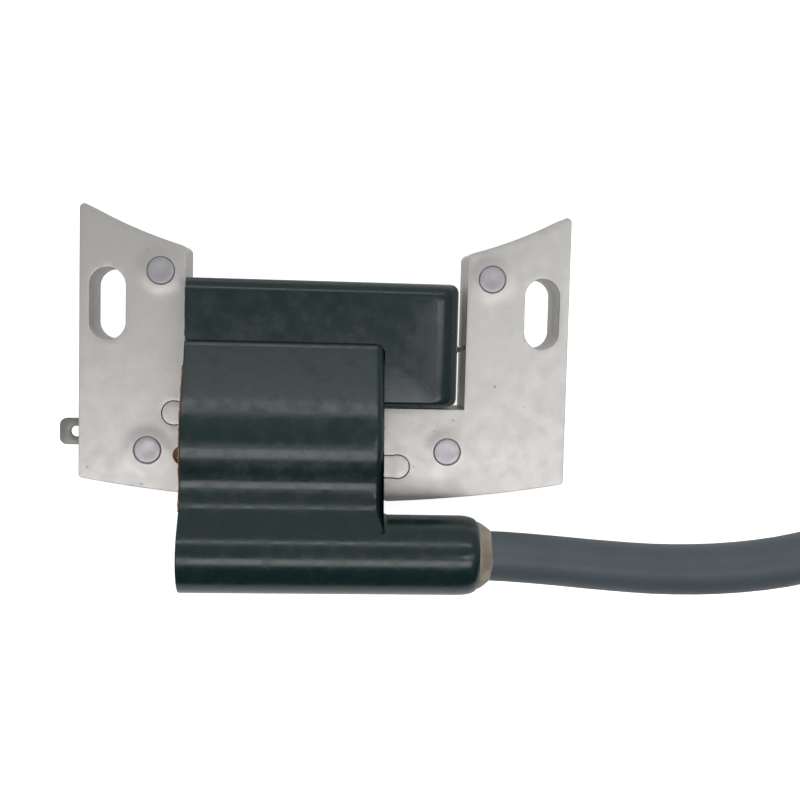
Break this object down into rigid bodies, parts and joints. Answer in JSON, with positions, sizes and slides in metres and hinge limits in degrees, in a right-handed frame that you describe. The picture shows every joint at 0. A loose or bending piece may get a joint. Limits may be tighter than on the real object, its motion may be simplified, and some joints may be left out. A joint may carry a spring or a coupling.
{
  "type": "ignition coil",
  "caption": "Flywheel magneto ignition coil: laminated U core with slotted legs, potted coil and module between them, and a spark plug lead with a rubber boot.",
  "frame": {"origin": "midway between the two mounting slots, in the plane of the core's rear face, where the module's potted back is flush with it", "axes": "+X from the left slot to the right slot and out along the lead, +Y towards the flywheel, +Z out of the front, away from the engine"},
  "size_m": [0.2125, 0.0918, 0.0359],
  "materials": {
    "core_steel": "satin zinc-plated sheet",
    "rivet_steel": "satin",
    "housing_plastic": "semi-gloss moulded",
    "potting_resin": "cast resin",
    "bobbin_plastic": "moulded",
    "enamelled_copper": "enamelled wire",
    "brass": "plain",
    "terminal_steel": "dull plated",
    "tinned_metal": "tinned",
    "insulator": "fibre",
    "circuit_board": "lacquered",
    "component_black": "moulded",
    "resistor_body": "lacquered",
    "sealant": "cured sealant",
    "lead_rubber": "matt",
    "boot_rubber": "matt"
  },
  "bodies": {
    "root": {"left_leg_laminations": "core_steel", "right_leg_laminations": "core_steel", "centre_bar_laminations": "core_steel", "rivet_upper_left": "rivet_steel", "rivet_lower_left": "rivet_steel", "rivet_upper_right": "rivet_steel", "rivet_lower_right": "rivet_steel", "primary_bobbin": "bobbin_plastic", "primary_winding": "enamelled_copper", "secondary_bobbin": "bobbin_plastic", "secondary_winding_1": "enamelled_copper", "secondary_winding_2": "enamelled_copper", "secondary_winding_3": "enamelled_copper", "secondary_winding_4": "enamelled_copper", "coil_housing": "housing_plastic", "coil_potting": "potting_resin", "contact_spike": "brass", "high_tension_link": "enamelled_copper", "lead_sealant": "sealant", "kill_terminal": "terminal_steel", "terminal_insulator": "insulator", "ground_strap": "brass", "module_housing": "housing_plastic", "module_potting": "potting_resin", "circuit_board": "circuit_board", "power_transistor": "component_black", "transistor_tab": "tinned_metal", "capacitor": "tinned_metal", "resistor_a": "resistor_body", "resistor_b": "resistor_body", "diode": "component_black", "primary_wire_1": "enamelled_copper", "primary_wire_2": "enamelled_copper", "spark_plug_lead": "lead_rubber", "plug_boot": "boot_rubber", "plug_clip": "terminal_steel"}
  },
  "joints": []
}
